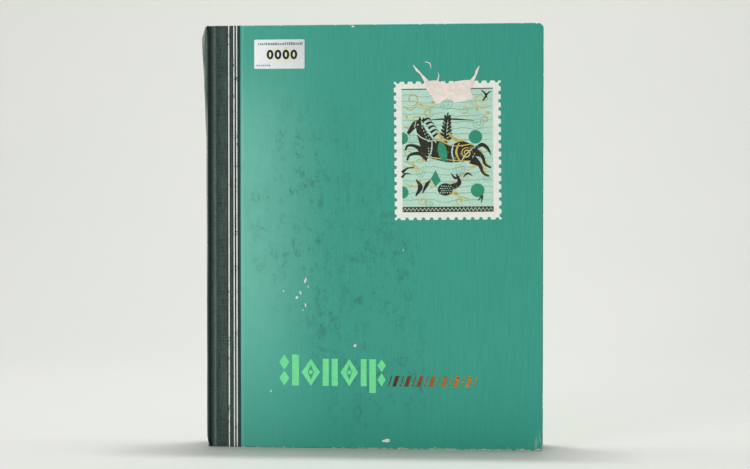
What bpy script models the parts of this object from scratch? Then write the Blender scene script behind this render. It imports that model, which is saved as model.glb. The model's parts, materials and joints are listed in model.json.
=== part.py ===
"""A quarter-cloth stamp stock album standing on its lower edge.

X runs from the spine (-X) to the fore-edge (+X), the front cover faces -Y and Z is up. The
origin is the middle of the footprint. Sections are drawn in two lengths: u is the distance
from the outermost line of the spine, v the distance behind the front cover's outer face.
"""

import math

import bmesh
import bpy

# Driving dimensions, in metres
ALBUM_WIDTH = 0.255
ALBUM_HEIGHT = 0.318
GAP = 0.0003            # air between two pieces that lie on each other

SKIN = 0.0005           # cloth and cover paper
BOARD = 0.0024          # binder's board
PASTEDOWN = 0.0004      # paper lining inside each board
CORNER_RADIUS = 0.003   # rounded outer corners of the boards
CORNER_STEPS = 4

SPINE_ROUND = 0.0022    # how far the spine bows out between its two shoulders
SPINE_CARD = 0.0012     # flexible card inside the spine
SPINE_STEPS = 10
SHOULDER = 0.0012       # flat of the cloth over each shoulder, before the joint
SHOULDER_IN = 0.0004    # the shoulders lie this far behind the covers' outer faces
GROOVE_DEPTH = 0.0016   # the joint pressed in beside each shoulder
GROOVE_SLOPE = 0.0009   # width of each of its sides
GROOVE_FLOOR = 0.0020
HINGE_PROUD = 0.0002    # the fold line, in front of the cover's outer face
QUARTER_CLOTH = 0.0193  # cloth on the board, from the joint to the cover paper

LEAF_COUNT = 8
LEAF_CARD = 0.0008
INTERLEAF = 0.0002
POCKET_BASE = 0.00015   # pocket film where it is glued to the card
POCKET_LIP = 0.0004     # pocket film at a pocket's open upper edge
POCKET_ROWS = 8
POCKET_SPACE = 0.00925  # bare film above each pocket strip
SQUARE = 0.004          # how far the boards stand past the leaves
STUB_WIDTH = 0.006      # depth of the stub block, from spine to leaf hinges
LINING = 0.0004         # cloth lining glued on the stub block's back
LINEN = 0.0003          # linen hinge of each leaf
LINEN_WIDTH = 0.0067
POCKET_START = 0.0150   # pockets start this far from the leaf's hinge line
LEAF_MARGIN = 0.006     # bare card around the pockets
BAND_RADIUS = 0.0010    # rolled bands at the head and tail of the stub block
BAND_SIDES = 10

LABEL_WIDTH = 0.0381
LABEL_HEIGHT = 0.0219
LABEL_SHEET = 0.0002
LABEL_U = 0.0378        # left edge of the paper label
LABEL_TOP = 0.0108      # its top edge, below the top of the cover

# Sizes that follow from those
COVER = SKIN + GAP + BOARD + GAP + PASTEDOWN
LEAF_PITCH = LEAF_CARD + 2 * (GAP + POCKET_LIP) + INTERLEAF + 2 * GAP
BLOCK_DEPTH = LEAF_COUNT * LEAF_PITCH
THICKNESS = 2 * (COVER + GAP) + BLOCK_DEPTH
LABEL_RISE = LABEL_SHEET + GAP
MIDDLE_V = (THICKNESS - LABEL_RISE) / 2
BLOCK_V = COVER + GAP
GROOVE_U = SPINE_ROUND + SHOULDER
GROOVE_V = SHOULDER_IN + GROOVE_DEPTH
HINGE_U = GROOVE_U + GROOVE_SLOPE + GROOVE_FLOOR / 2
BOARD_EDGE_U = GROOVE_U + 2 * GROOVE_SLOPE + GROOVE_FLOOR + SKIN + GAP
CLOTH_END_U = BOARD_EDGE_U + QUARTER_CLOTH
CARD_V = GROOVE_V + SKIN + GAP
LEAF_END_U = ALBUM_WIDTH - SQUARE
PAGE_BOTTOM = SQUARE
PAGE_TOP = ALBUM_HEIGHT - SQUARE


def spine_bow(v):
    """u of the spine's outer face at depth v: a shallow curve, deepest at the two shoulders."""
    return SPINE_ROUND * ((v - THICKNESS / 2) / (THICKNESS / 2 - SHOULDER_IN)) ** 2


LINING_U = spine_bow(CARD_V) + SKIN + GAP + SPINE_CARD + GAP
STUB_U = LINING_U + LINING + GAP
LEAF_HINGE_U = STUB_U + STUB_WIDTH + GAP

CLOTH_GREEN = (0.045, 0.085, 0.072)
PAPER_TEAL = (0.045, 0.345, 0.255)
IVORY = (0.78, 0.74, 0.62)


def clear_scene():
    for existing in list(bpy.data.objects):
        bpy.data.objects.remove(existing, do_unlink=True)


def make_material(name, colour, roughness, metallic=0.0, alpha=1.0):
    material = bpy.data.materials.new(name)
    material.use_nodes = True
    shader = material.node_tree.nodes["Principled BSDF"]
    shader.inputs["Base Color"].default_value = (*colour, 1.0)
    shader.inputs["Roughness"].default_value = roughness
    shader.inputs["Metallic"].default_value = metallic
    shader.inputs["Alpha"].default_value = alpha
    return material


def place(u, v):
    """Section lengths u and v as world x and y."""
    return u - ALBUM_WIDTH / 2, v - MIDDLE_V


def make_axis(name, u, v):
    """An empty on a vertical hinge line."""
    axis = bpy.data.objects.new(name, None)
    axis.location = (*place(u, v), 0.0)
    bpy.context.collection.objects.link(axis)
    return axis


def add_object(name, shape, material, axis):
    """Turn a bmesh in world coordinates into an object whose origin is its hinge line."""
    bmesh.ops.recalc_face_normals(shape, faces=shape.faces[:])
    bmesh.ops.translate(shape, verts=shape.verts[:], vec=-axis.location)
    mesh = bpy.data.meshes.new(name)
    shape.to_mesh(mesh)
    shape.free()
    mesh.materials.append(material)
    piece = bpy.data.objects.new(name, mesh)
    bpy.context.collection.objects.link(piece)
    piece.parent = axis
    return piece


def extrude_outline(points, push):
    """A solid from a closed outline of 3-D points, pushed along one vector."""
    shape = bmesh.new()
    face = shape.faces.new([shape.verts.new(point) for point in points])
    pushed = bmesh.ops.extrude_face_region(shape, geom=[face])
    ends = [item for item in pushed["geom"] if isinstance(item, bmesh.types.BMVert)]
    bmesh.ops.translate(shape, verts=ends, vec=push)
    return shape


def plan_solid(section, bottom, top):
    """A section drawn in u and v, standing from bottom to top."""
    points = [(*place(u, v), bottom) for u, v in section]
    return extrude_outline(points, (0.0, 0.0, top - bottom))


def block(u_from, u_to, v_from, v_to, bottom, top):
    section = [(u_from, v_from), (u_to, v_from), (u_to, v_to), (u_from, v_to)]
    return plan_solid(section, bottom, top)


def cover_sheet(u_from, v_from, v_to, inset=0.0):
    """A sheet as tall as the cover, from u_from to the fore-edge, its outer corners rounded."""
    right = ALBUM_WIDTH - inset
    radius = CORNER_RADIUS
    y_front = place(0.0, v_from)[1]
    outline = [(u_from, inset)]
    for centre_z, start in ((inset + radius, -90), (ALBUM_HEIGHT - inset - radius, 0)):
        for step in range(CORNER_STEPS + 1):
            angle = math.radians(start + 90 * step / CORNER_STEPS)
            outline.append((right - radius + radius * math.cos(angle),
                            centre_z + radius * math.sin(angle)))
    outline.append((u_from, ALBUM_HEIGHT - inset))
    points = [(place(u, v_from)[0], y_front, z) for u, z in outline]
    return extrude_outline(points, (0.0, v_to - v_from, 0.0))


def offset_path(path, distance):
    """The open path moved sideways to its left by distance, with mitred corners."""
    moved = []
    for index, (u, v) in enumerate(path):
        before = path[max(index - 1, 0)]
        after = path[min(index + 1, len(path) - 1)]
        sides = []
        for start, end in ((before, (u, v)), ((u, v), after)):
            run, rise = end[0] - start[0], end[1] - start[1]
            length = math.hypot(run, rise)
            if length > 0.0:
                sides.append((-rise / length, run / length))
        normal_u = sum(side[0] for side in sides) / len(sides)
        normal_v = sum(side[1] for side in sides) / len(sides)
        scale = distance / (normal_u ** 2 + normal_v ** 2)
        moved.append((u + normal_u * scale, v + normal_v * scale))
    return moved


def spine_arc(v_from, inside):
    """The spine's curve from depth v_from back to the same depth behind, moved in by inside."""
    points = []
    for step in range(SPINE_STEPS + 1):
        v = v_from + (THICKNESS - 2 * v_from) * step / SPINE_STEPS
        points.append((spine_bow(v) + inside, v))
    return points


def build_binding(axis):
    """Spine cloth, spine card, lining, stub block and the two bands: all that stays still."""
    cloth = make_material("spine_cloth", CLOTH_GREEN, 0.85)
    card = make_material("spine_card", (0.42, 0.36, 0.26), 0.9)
    mull = make_material("spine_lining", (0.70, 0.67, 0.58), 0.95)
    stubs = make_material("stub_block", IVORY, 0.9)
    bands = make_material("end_bands", (0.60, 0.12, 0.10), 0.8)

    front_leg = [(HINGE_U - GAP / 2, GROOVE_V), (GROOVE_U + GROOVE_SLOPE, GROOVE_V),
                 (GROOVE_U, SHOULDER_IN)]
    back_leg = [(u, THICKNESS - v) for u, v in front_leg[::-1]]
    wrap = front_leg + spine_arc(SHOULDER_IN, 0.0) + back_leg
    section = wrap + offset_path(wrap, -SKIN)[::-1]
    add_object("spine_cloth", plan_solid(section, 0.0, ALBUM_HEIGHT), cloth, axis)

    curve = spine_arc(CARD_V, SKIN + GAP)
    section = curve + [(u + SPINE_CARD, v) for u, v in curve[::-1]]
    add_object("spine_card", plan_solid(section, 0.0, ALBUM_HEIGHT), card, axis)

    block_end = BLOCK_V + BLOCK_DEPTH
    lining = block(LINING_U, LINING_U + LINING, BLOCK_V, block_end, PAGE_BOTTOM, PAGE_TOP)
    add_object("spine_lining", lining, mull, axis)
    stub = block(STUB_U, STUB_U + STUB_WIDTH, BLOCK_V, block_end, PAGE_BOTTOM, PAGE_TOP)
    add_object("stub_block", stub, stubs, axis)

    reach = BAND_RADIUS + GAP
    for name, centre_z in (("head_band", PAGE_TOP + reach), ("tail_band", PAGE_BOTTOM - reach)):
        band_u = STUB_U + BAND_RADIUS
        ring = []
        for side in range(BAND_SIDES):
            angle = 2 * math.pi * (side + 0.5) / BAND_SIDES
            x = place(band_u + BAND_RADIUS * math.cos(angle), 0.0)[0]
            ring.append((x, place(0.0, BLOCK_V)[1], centre_z + BAND_RADIUS * math.sin(angle)))
        roll = extrude_outline(ring, (0.0, BLOCK_DEPTH, 0.0))
        add_object(name, roll, bands, axis).data.shade_smooth()


def build_cover(side, axis):
    """One board with its cloth, cover paper and pastedown. The back cover mirrors the front."""
    def depth(v):
        return v if side == "front" else THICKNESS - v

    cloth = make_material(side + "_cover_cloth", CLOTH_GREEN, 0.85)
    paper = make_material(side + "_cover_paper", PAPER_TEAL, 0.5)
    board = make_material(side + "_board", (0.46, 0.40, 0.31), 0.95)
    lining = make_material(side + "_pastedown", IVORY, 0.8)

    rise_u = BOARD_EDGE_U - SKIN - GAP
    path = [(HINGE_U + GAP / 2, GROOVE_V), (rise_u - GROOVE_SLOPE, GROOVE_V),
            (rise_u, SHOULDER_IN), (BOARD_EDGE_U, 0.0), (CLOTH_END_U, 0.0)]
    section = [(u, depth(v)) for u, v in path + offset_path(path, SKIN)[::-1]]
    add_object(side + "_cover_cloth", plan_solid(section, 0.0, ALBUM_HEIGHT), cloth, axis)

    paper_sheet = cover_sheet(CLOTH_END_U + GAP, depth(0.0), depth(SKIN))
    add_object(side + "_cover_paper", paper_sheet, paper, axis)
    board_v = SKIN + GAP
    board_sheet = cover_sheet(BOARD_EDGE_U, depth(board_v), depth(board_v + BOARD))
    add_object(side + "_board", board_sheet, board, axis)
    inner_v = board_v + BOARD + GAP
    inner_sheet = cover_sheet(BOARD_EDGE_U + SQUARE, depth(inner_v),
                              depth(inner_v + PASTEDOWN), SQUARE)
    add_object(side + "_pastedown", inner_sheet, lining, axis)


def build_label(axis):
    """Small paper sticker on the front cover."""
    white = make_material("lot_label", (0.9, 0.9, 0.9), 0.6)
    top = ALBUM_HEIGHT - LABEL_TOP
    sticker = block(LABEL_U, LABEL_U + LABEL_WIDTH, -LABEL_RISE, -GAP, top - LABEL_HEIGHT, top)
    add_object("lot_label", sticker, white, axis)


def pocket_sheet(card_face, outwards):
    """Film pockets on one face of a leaf: glued along their foot, lifting to an open lip."""
    bottom = PAGE_BOTTOM + LEAF_MARGIN
    top = PAGE_TOP - LEAF_MARGIN
    pitch = (top - bottom) / POCKET_ROWS
    strip = pitch - POCKET_SPACE
    back = card_face + outwards * GAP
    profile = [(bottom, back)]
    for row in range(POCKET_ROWS):
        foot = bottom + row * pitch
        profile.append((foot, back + outwards * POCKET_BASE))
        profile.append((foot + strip, back + outwards * POCKET_LIP))
        profile.append((foot + strip, back + outwards * POCKET_BASE))
    profile.append((top, back + outwards * POCKET_BASE))
    profile.append((top, back))
    start = LEAF_HINGE_U + POCKET_START
    end = LEAF_END_U - LEAF_MARGIN
    points = [(*place(start, v), z) for z, v in profile]
    return extrude_outline(points, (end - start, 0.0, 0.0))


def build_leaf(number):
    """A stiff stock leaf: card, linen hinge, film pockets on both faces, glassine in front."""
    slot = BLOCK_V + (number - 1) * LEAF_PITCH
    sheet_v = slot + GAP
    card_v = sheet_v + INTERLEAF + GAP + POCKET_LIP + GAP
    middle_v = card_v + LEAF_CARD / 2
    axis = make_axis(f"leaf_{number}_axis", LEAF_HINGE_U, middle_v)
    name = f"leaf_{number}_"

    card = make_material(name + "card", (0.80, 0.77, 0.68), 0.85)
    linen = make_material(name + "linen_hinge", (0.66, 0.63, 0.55), 0.95)
    film = make_material(name + "pockets", (0.85, 0.86, 0.84), 0.25, alpha=0.6)

    linen_end = LEAF_HINGE_U + LINEN_WIDTH
    strip = block(LEAF_HINGE_U, linen_end, middle_v - LINEN / 2, middle_v + LINEN / 2,
                  PAGE_BOTTOM, PAGE_TOP)
    add_object(name + "linen_hinge", strip, linen, axis)
    stiff = block(linen_end + GAP, LEAF_END_U, card_v, card_v + LEAF_CARD, PAGE_BOTTOM, PAGE_TOP)
    add_object(name + "card", stiff, card, axis)
    add_object(name + "pockets_front", pocket_sheet(card_v, -1), film, axis)
    add_object(name + "pockets_back", pocket_sheet(card_v + LEAF_CARD, 1), film, axis)
    if number > 1:
        tissue = make_material(f"interleaf_{number - 1}", (0.88, 0.88, 0.84), 0.4, alpha=0.5)
        glassine = block(LEAF_HINGE_U + POCKET_START, LEAF_END_U, sheet_v, sheet_v + INTERLEAF,
                         PAGE_BOTTOM, PAGE_TOP)
        add_object(f"interleaf_{number - 1}", glassine, tissue, axis)


def main():
    clear_scene()
    spine_axis = make_axis("spine_axis", ALBUM_WIDTH / 2, MIDDLE_V)
    front_axis = make_axis("front_cover_axis", HINGE_U, -HINGE_PROUD)
    back_axis = make_axis("back_cover_axis", HINGE_U, THICKNESS + HINGE_PROUD)
    build_binding(spine_axis)
    build_cover("front", front_axis)
    build_cover("back", back_axis)
    build_label(front_axis)
    for number in range(1, LEAF_COUNT + 1):
        build_leaf(number)


main()
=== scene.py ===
import bpy
import json
import math
import numpy as np
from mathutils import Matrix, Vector


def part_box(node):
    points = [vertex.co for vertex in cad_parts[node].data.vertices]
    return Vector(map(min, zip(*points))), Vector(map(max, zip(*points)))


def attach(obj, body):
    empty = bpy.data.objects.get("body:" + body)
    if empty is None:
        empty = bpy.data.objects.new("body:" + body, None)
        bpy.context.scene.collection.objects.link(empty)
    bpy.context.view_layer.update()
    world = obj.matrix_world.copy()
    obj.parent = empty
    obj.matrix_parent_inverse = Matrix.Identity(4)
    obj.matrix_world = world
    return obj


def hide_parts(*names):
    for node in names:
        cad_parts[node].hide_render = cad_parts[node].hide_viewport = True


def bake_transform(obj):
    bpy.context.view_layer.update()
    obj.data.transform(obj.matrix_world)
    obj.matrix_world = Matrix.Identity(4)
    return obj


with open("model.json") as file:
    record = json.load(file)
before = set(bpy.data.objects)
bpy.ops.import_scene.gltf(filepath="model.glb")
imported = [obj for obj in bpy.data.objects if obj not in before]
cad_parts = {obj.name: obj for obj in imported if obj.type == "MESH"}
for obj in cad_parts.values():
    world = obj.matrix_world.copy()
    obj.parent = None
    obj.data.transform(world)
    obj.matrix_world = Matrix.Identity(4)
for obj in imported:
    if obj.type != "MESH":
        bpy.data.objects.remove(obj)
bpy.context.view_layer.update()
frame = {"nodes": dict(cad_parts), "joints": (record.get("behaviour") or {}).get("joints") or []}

# Stamp stock album, quarter bound in dark green cloth with teal paper sides, standing on its lower edge.
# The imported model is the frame; this script builds what shows around it.
mm = 0.001
print("frame loaded:", len(frame["nodes"]), "nodes")


# measures taken from the frame
def nodeBox(name):
    # the lowest and the highest corner of a node
    low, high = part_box(name)
    return np.array(low), np.array(high)


paperLow, paperHigh = nodeBox("front_cover_paper")
spineLow, _ = nodeBox("spine_cloth")
boardLow, _ = nodeBox("front_board")
liningLow, liningHigh = nodeBox("front_pastedown")
_, clothHigh = nodeBox("front_cover_cloth")
_, backHigh = nodeBox("back_cover_paper")

spineX = spineLow[0]                 # outermost line of the spine; u is measured from here
frontY, backY = paperLow[1], backHigh[1]
album = {
    "width": paperHigh[0] - spineX,
    "height": paperHigh[2],
    "depth": backY - frontY,
    "boardU": boardLow[0] - spineX,
    "clothU": clothHigh[0] - spineX,
    "hingeU": frame["joints"][0]["pos_m"][0] - spineX,
    "innerDepth": liningHigh[1] - frontY,
}


def place(u, v, z, side="front"):
    # u from the spine, v behind that cover's outer face, z up, as points in the row frame
    u, v, z = np.broadcast_arrays(u, v, z)
    y = frontY + v if side == "front" else backY - v
    return np.stack([spineX + u, y, z], axis=-1)


# shader maths
class Value:
    # wraps an output socket, so that sums and products of sockets read as plain arithmetic
    def __init__(self, graph, socket):
        self.graph = graph
        self.socket = socket

    def __add__(self, other):
        return self.graph.math("ADD", self, other)

    def __sub__(self, other):
        return self.graph.math("SUBTRACT", self, other)

    def __rsub__(self, other):
        return self.graph.math("SUBTRACT", other, self)

    def __mul__(self, other):
        return self.graph.math("MULTIPLY", self, other)

    def __truediv__(self, other):
        return self.graph.math("DIVIDE", self, other)

    __radd__ = __add__
    __rmul__ = __mul__


class Graph:
    def __init__(self, name):
        self.material = bpy.data.materials.new(name)
        self.material.use_nodes = True
        self.tree = self.material.node_tree
        self.shader = self.tree.nodes["Principled BSDF"]

    def node(self, kind, settings=None, values=None, output=0):
        made = self.tree.nodes.new(kind)
        for key, value in (settings or {}).items():
            setattr(made, key, value)
        for key, value in (values or {}).items():
            self.feed(made.inputs[key], value)
        return Value(self, made.outputs[output])

    def feed(self, socket, value):
        if isinstance(value, Value):
            self.tree.links.new(value.socket, socket)
        elif socket.type == "RGBA" and len(value) == 3:
            socket.default_value = (*value, 1.0)
        else:
            socket.default_value = value

    def math(self, operation, a, b=0.0):
        return self.node("ShaderNodeMath", {"operation": operation}, {0: a, 1: b})

    def sine(self, a):
        return self.math("SINE", a)

    def larger(self, a, b):
        return self.math("MAXIMUM", a, b)

    def smaller(self, a, b):
        return self.math("MINIMUM", a, b)

    def absolute(self, a):
        return self.math("ABSOLUTE", a)

    def objectPoint(self):
        return self.node("ShaderNodeTexCoord", output="Object")

    def surfacePoint(self):
        return self.node("ShaderNodeUVMap", {"uv_map": "surface"})

    def attribute(self, name):
        return self.node("ShaderNodeAttribute", {"attribute_name": name}, output="Fac")

    def parts(self, point):
        split = self.node("ShaderNodeSeparateXYZ", values={0: point}).socket.node
        return [Value(self, output) for output in split.outputs]

    def noise(self, point, scale, detail=3.0, roughness=0.55):
        # three scales give a pattern that is drawn out differently along each axis
        if isinstance(scale, tuple):
            point, scale = self.node("ShaderNodeMapping", values={"Vector": point, "Scale": scale}), 1.0
        return self.node("ShaderNodeTexNoise",
                         values={"Vector": point, "Scale": scale, "Detail": detail, "Roughness": roughness})

    def step(self, value, low, high, start=0.0, end=1.0):
        # smooth step: start below low, end above high
        return self.node("ShaderNodeMapRange", {"interpolation_type": "SMOOTHSTEP"},
                         {"Value": value, "From Min": low, "From Max": high, "To Min": start, "To Max": end})

    def mix(self, share, a, b):
        # two colours; the node's colour sockets are numbers 6 and 7, its colour output is number 2
        return self.node("ShaderNodeMix", {"data_type": "RGBA"}, {0: share, 6: a, 7: b}, output=2)

    def bump(self, height, strength, distance=0.0002):
        return self.node("ShaderNodeBump", values={"Height": height, "Strength": strength, "Distance": distance})

    def surface(self, **values):
        # keyword names are the shader's socket names without spaces, such as baseColor
        names = {"baseColor": "Base Color", "roughness": "Roughness", "metallic": "Metallic", "normal": "Normal",
                 "alpha": "Alpha", "coat": "Coat Weight", "sheen": "Sheen Weight",
                 "sheenRoughness": "Sheen Roughness", "specular": "Specular IOR Level", "ior": "IOR"}
        for key, value in values.items():
            self.feed(self.shader.inputs[names[key]], value)
        return self.material


def rgb(red, green, blue):
    # a screen colour from 0 to 255 as scene light
    shares = np.array([red, green, blue]) / 255
    light = np.where(shares <= 0.04045, shares / 12.92, ((shares + 0.055) / 1.055) ** 2.4)
    return tuple(float(x) for x in light)


# mesh helpers
def quadsOf(index):
    # quads between neighbours in a grid of point numbers
    corners = [index[:-1, :-1], index[1:, :-1], index[1:, 1:], index[:-1, 1:]]
    return np.stack([c.ravel() for c in corners], axis=1)


def gridFaces(rows, columns):
    # the same for points stored row by row
    return quadsOf(np.arange(rows * columns).reshape(rows, columns))


def stripFaces(a, b):
    # quads between two equally long rows of point numbers
    return np.stack([a[:-1], a[1:], b[1:], b[:-1]], axis=1)


def signedVolume(points, faces):
    # a sixth of the summed box products of each face's corners, about the mesh's middle
    centred = points - points.mean(axis=0)
    total = 0.0
    for face in faces:
        corners = centred[list(face)]
        total += np.einsum("ij,ij->i", np.broadcast_to(corners[0], corners[1:-1].shape),
                           np.cross(corners[1:-1], corners[2:])).sum()
    return total / 6


def facingSum(points, faces):
    # the summed area vectors of all faces
    total = np.zeros(3)
    for face in faces:
        corners = points[list(face)]
        total += np.cross(corners[1:-1] - corners[0], corners[2:] - corners[0]).sum(axis=0)
    return total


sharpAngle = math.radians(50)        # steeper edges than this are shaded sharp


def addPiece(name, points, faces, material, body, replaces=(), facing=None, surface=None, values=None,
             turned=None, flat=False):
    # facing is the direction an open sheet looks to; a closed shell is turned by its volume
    points = np.asarray(points, float).reshape(-1, 3)
    faces = [tuple(int(i) for i in face) for face in faces]
    if turned is None:
        if facing is None:
            turned = signedVolume(points, faces) < 0
        else:
            turned = float(facingSum(points, faces) @ np.array(facing)) < 0
    if turned:
        faces = [face[::-1] for face in faces]
    mesh = bpy.data.meshes.new(name)
    mesh.from_pydata(points.tolist(), [], faces)
    if surface is not None:
        corners = np.empty(len(mesh.loops), np.int32)
        mesh.loops.foreach_get("vertex_index", corners)
        layer = mesh.uv_layers.new(name="surface")
        layer.data.foreach_set("uv", np.asarray(surface, np.float32).reshape(-1, 2)[corners].ravel())
    for key, numbers in (values or {}).items():
        made = mesh.attributes.new(key, "FLOAT", "POINT")
        made.data.foreach_set("value", np.asarray(numbers, np.float32).ravel())
    if not flat:
        mesh.shade_smooth()
        mesh.set_sharp_from_angle(angle=sharpAngle)
    mesh.materials.append(material)
    piece = bpy.data.objects.new(name, mesh)
    bpy.context.scene.collection.objects.link(piece)
    if body:
        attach(piece, body)
    if replaces:
        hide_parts(*replaces)
    return piece


def paint(name, material):
    # a node that shows as it is takes a finish of its own
    materials = frame["nodes"][name].data.materials
    materials.clear()
    materials.append(material)


def thicken(piece, thickness):
    # gives a sheet its thickness behind its outer face
    modifier = piece.modifiers.new("thickness", "SOLIDIFY")
    modifier.thickness = thickness
    modifier.offset = -1.0
    return piece


def gridSurface(points):
    # lengths along both directions of a grid, each averaged over the other, as its own map in metres
    down = np.linalg.norm(np.diff(points, axis=0), axis=2).mean(axis=1)
    across = np.linalg.norm(np.diff(points, axis=1), axis=2).mean(axis=0)
    s = np.concatenate([[0], np.cumsum(down)])
    t = np.concatenate([[0], np.cumsum(across)])
    return np.stack(np.meshgrid(s, t, indexing="ij"), axis=-1)


def softNoise(a, b, scale, seed):
    # a smooth irregular height: sines of mixed directions and sizes, drawn from a seeded list
    draw = np.random.default_rng(seed)
    total = np.zeros(np.broadcast(a, b).shape)
    for octave in range(5):
        turn, phase = draw.uniform(0, math.pi), draw.uniform(0, 2 * math.pi, 2)
        size = scale / 1.7 ** octave / (2 * math.pi)
        along = (a * math.cos(turn) + b * math.sin(turn)) / size
        aside = (b * math.cos(turn) - a * math.sin(turn)) / size
        total = total + (np.sin(along + phase[0]) + np.sin(aside + phase[1])) * 0.62 ** octave
    return total / 4


def smooth(x, start, end):
    # rises from 0 at start to 1 at end as 3t^2 - 2t^3
    t = np.clip((x - start) / (end - start), 0, 1)
    return t * t * (3 - 2 * t)


# edges that are turned over
wrap = {"roll": 0.0008, "steps": 4, "turnIn": 0.0068}


def wrapShares():
    # lines over an edge from face to inside: inset = roll * a + b, depth = roll * c + thickness * d
    angle = np.linspace(0, math.pi / 2, wrap["steps"] + 1)
    inset, rolled = 1 - np.sin(angle), 1 - np.cos(angle)
    count = len(angle)
    a = np.concatenate([inset, inset[::-1], [0]])
    b = np.concatenate([np.zeros(2 * count), [wrap["turnIn"]]])
    c = np.concatenate([rolled, -rolled[::-1], [0]])
    d = np.concatenate([np.zeros(count), np.ones(count + 1)])
    return a, b, c, d


def wrappedStrip(path, inward, thickness, bottom, top, faceLines, shift=None):
    # a path in plan carried up the album; its lines roll over head and tail and turn in behind the board
    # point = path + inward * depth, height = edge -/+ inset
    a, b, c, d = wrapShares()
    thickness = np.asarray(thickness, float)[:, None]
    roll = np.minimum(wrap["roll"], thickness / 2.2)
    inset, depth = roll * a + b, roll * c + thickness * d
    share = np.linspace(0, 1, faceLines)[None, 1:-1]
    middle = (bottom + roll) + (top - bottom - 2 * roll) * share
    z = np.concatenate([(bottom + inset)[:, ::-1], middle, top - inset], axis=1)
    v = np.concatenate([depth[:, ::-1], np.zeros_like(middle), depth], axis=1)
    rim = np.concatenate([(d + c > 0.02)[::-1], np.zeros(middle.shape[1], bool), d + c > 0.02])
    flat = path[:, None, :] + inward[:, None, :] * v[:, :, None]
    u, v = flat[..., 0], flat[..., 1]
    if shift is not None:
        u = u + shift(v, z)
    return u, v, z, np.broadcast_to(rim, z.shape).astype(float)


def inwardOf(path, towards):
    # unit vectors square to the path, on the side of the given direction
    along = np.gradient(path, axis=0)
    along /= np.linalg.norm(along, axis=1)[:, None]
    across = np.stack([-along[:, 1], along[:, 0]], axis=1)
    return across * np.sign(across @ np.array(towards))[:, None]


# covers
boardThickness = album["innerDepth"] - 0.0004 - 0.0001     # outer face to the turned-in paper
cover = {"foreTail": 0.0026, "foreHead": 0.0044, "cornerSteps": 4, "paperStart": album["clothU"] + 0.0007,
         "paperSheet": 0.00022, "columns": 90, "rows": 120, "sharpest": 0.0006, "boardInset": 0.0004}


def coverOutline(inset, tailRadius, headRadius):
    # tail edge, worn corner, fore-edge, worn corner, head edge, all inset by the same width
    m = cover["cornerSteps"]
    step = np.arange(1, m + 1) / m
    angles = np.concatenate([np.arctan(step), math.pi / 2 - np.arctan(1 - step)])
    left, right = cover["paperStart"], album["width"] - inset
    s = np.linspace(0, 1, cover["columns"] + 1)
    tail = np.stack([left + (right - tailRadius - left) * s, np.full(len(s), inset)], axis=1)
    low = np.stack([right - tailRadius + tailRadius * np.sin(angles),
                    inset + tailRadius - tailRadius * np.cos(angles)], axis=1)
    r = np.linspace(0, 1, cover["rows"] + 1)[1:]
    foot, crown = inset + tailRadius, album["height"] - inset - headRadius
    fore = np.stack([np.full(len(r), right), foot + (crown - foot) * r], axis=1)
    high = np.stack([right - headRadius + headRadius * np.cos(angles),
                     crown + headRadius * np.sin(angles)], axis=1)
    head = np.stack([left + (right - headRadius - left) * s, np.full(len(s), album["height"] - inset)], axis=1)
    return np.concatenate([tail, low, fore, high, head[:-1][::-1]])


def coverFace(inset, tailRadius, headRadius):
    # a grid over the flat face; squares at the two outer corners are bent to quarter circles
    m = cover["cornerSteps"]
    step = np.arange(1, m + 1) / m
    foot, crown = inset + tailRadius, album["height"] - inset - headRadius
    straight = foot + (crown - foot) * np.linspace(0, 1, cover["rows"] + 1)
    z = np.concatenate([inset + tailRadius * np.arange(m) / m, straight, crown + headRadius * step])
    radius = tailRadius + (headRadius - tailRadius) * np.clip((z - foot) / (crown - foot), 0, 1)
    left, right = cover["paperStart"], album["width"] - inset
    s = np.linspace(0, 1, cover["columns"] + 1)
    start = (right - radius)[:, None]
    u = np.concatenate([left + (start - left) * s, start + radius[:, None] * step], axis=1)
    z = np.broadcast_to(z[:, None], u.shape).copy()
    for centreZ, half, side in ((foot, tailRadius, -1), (crown, headRadius, 1)):
        a, b = u - (right - half), (z - centreZ) * side
        inside = (a > 1e-9) & (b > 1e-9)
        scale = np.where(inside, np.maximum(a, b) / np.maximum(np.hypot(a, b), 1e-9), 1.0)
        u = np.where(inside, right - half + a * scale, u)
        z = np.where(inside, centreZ + side * b * scale, z)
    return u, z


def addCoverPaper(side, material):
    a, b, c, d = wrapShares()
    roll, thickness = wrap["roll"], boardThickness
    inset, depth = roll * a + b, roll * c + thickness * d
    tail, head = cover["foreTail"], cover["foreHead"]
    u, z = coverFace(roll, tail - roll, head - roll)
    rows, columns = u.shape
    index = np.arange(u.size).reshape(rows, columns)
    rim = np.concatenate([index[0], index[1:, -1], index[-1, :-1][::-1]])
    points = [place(u, 0.0, z, side).reshape(-1, 3)]
    worn = [np.zeros(u.size)]
    faces = [gridFaces(rows, columns)]
    previous = rim
    for k in range(1, len(inset)):
        onEdge = inset[k] < 0.001
        tailRadius, headRadius = (max(radius - inset[k], cover["sharpest"]) for radius in (tail, head))
        ring = coverOutline(inset[k], tailRadius, headRadius)
        ripple = 0.00010 * softNoise(ring[:, 0], ring[:, 1], 0.03, 5) * onEdge       # the worn fore-edge wanders
        points.append(place(ring[:, 0] + ripple * (ring[:, 0] > 0.2), depth[k], ring[:, 1], side))
        worn.append(np.full(len(ring), float(onEdge)))
        current = u.size + (k - 1) * len(ring) + np.arange(len(ring))
        faces.append(stripFaces(previous, current))
        previous = current
    points, faces = np.concatenate(points), np.concatenate(faces)
    piece = addPiece(f"{side}_cover_side_paper", points, faces, material, f"{side}_cover",
                     [f"{side}_cover_paper"], values={"rim": np.concatenate(worn)})
    return thicken(piece, cover["paperSheet"])


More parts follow.
